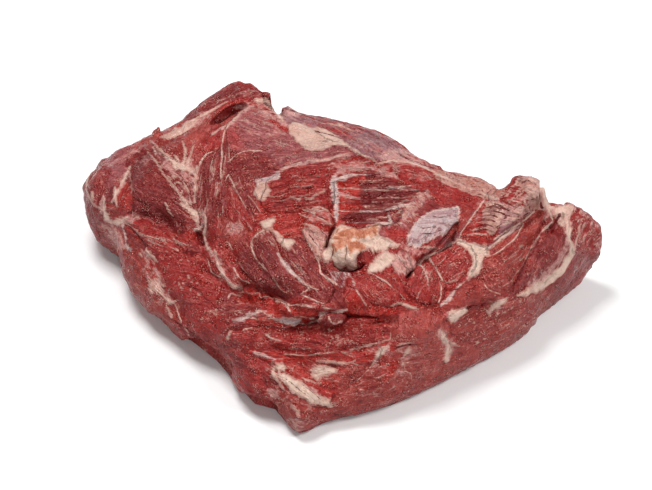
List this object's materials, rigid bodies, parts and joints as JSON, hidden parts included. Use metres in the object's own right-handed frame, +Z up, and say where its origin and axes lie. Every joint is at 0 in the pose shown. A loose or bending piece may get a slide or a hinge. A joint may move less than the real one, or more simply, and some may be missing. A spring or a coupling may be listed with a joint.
{
  "type": "raw beef joint",
  "caption": "Boneless raw beef joint lying boned side up, a wide uneven slab with layered muscles, clefts, a pocket, fat seams and membranes.",
  "frame": {"origin": "on the floor plane, under the middle of the joint's bounding box", "axes": "+X along the joint's length, from the thin left end to the right end with the fat seam; +Y towards the thick back edge; +Z up, out of the boned side"},
  "size_m": [0.42, 0.3248, 0.111],
  "materials": {
    "raw_beef": "moist raw meat with cream fat and pale membrane"
  },
  "bodies": {
    "root": {"beef_joint": "raw_beef"}
  },
  "joints": []
}
